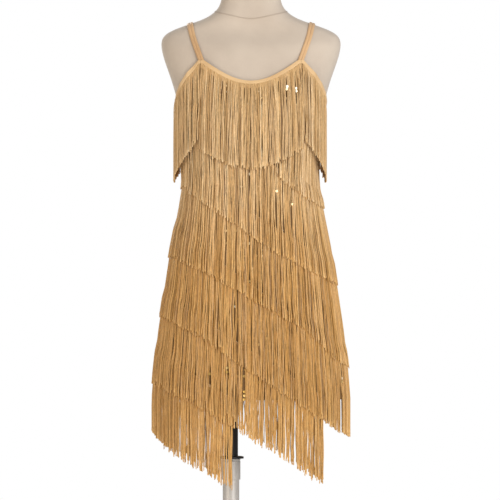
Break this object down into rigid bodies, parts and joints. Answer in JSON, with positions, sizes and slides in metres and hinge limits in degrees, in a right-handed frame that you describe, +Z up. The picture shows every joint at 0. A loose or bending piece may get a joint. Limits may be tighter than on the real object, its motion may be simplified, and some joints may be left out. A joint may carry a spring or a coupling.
{
  "type": "flapper dress on a dress form",
  "caption": "sleeveless knee-length flapper dress with slanting rows of long gold fringe, worn by a limbless dress form on a height-adjustable pole stand",
  "frame": {"origin": "on the floor under the middle of the dress, on the underside of the base", "axes": "+Z up, the dress's front faces -Y, +X to the viewer's right"},
  "size_m": [0.4052, 0.32, 1.448],
  "materials": {
    "base_cloth": "satin",
    "binding": "satin",
    "fringe": "satin",
    "form_cloth": "matte",
    "black_metal": "satin",
    "pale_metal": "satin"
  },
  "bodies": {
    "stand": {"base": "pale_metal", "column": "pale_metal", "clamp_collar": "pale_metal", "clamp_ring": "black_metal", "clamp_screw": "black_metal"},
    "mast": {"mast": "black_metal"},
    "figure": {"form_body": "form_cloth", "pole_socket": "black_metal", "dress_front": "base_cloth", "dress_back": "base_cloth", "neck_binding_front": "binding", "neck_binding_back": "binding", "armhole_binding_left": "binding", "armhole_binding_right": "binding", "strap_left": "binding", "strap_right": "binding", "fringe_neck_front": "fringe", "fringe_neck_back": "fringe", "fringe_arm_left": "fringe", "fringe_arm_right": "fringe", "fringe_row_1": "fringe", "fringe_row_2": "fringe", "fringe_row_3": "fringe", "fringe_row_4": "fringe", "fringe_row_5": "fringe", "fringe_row_6": "fringe"}
  },
  "joints": [
    {"name": "height_slide", "type": "slide", "parent": "stand", "child": "mast", "axis": [0, 0, 1], "range_m": [-0.12, 0.12]},
    {"name": "form_swivel", "type": "hinge", "parent": "mast", "child": "figure", "pos_m": [-0.04, 0, 0.65], "axis": [0, 0, 1], "continuous": true}
  ]
}
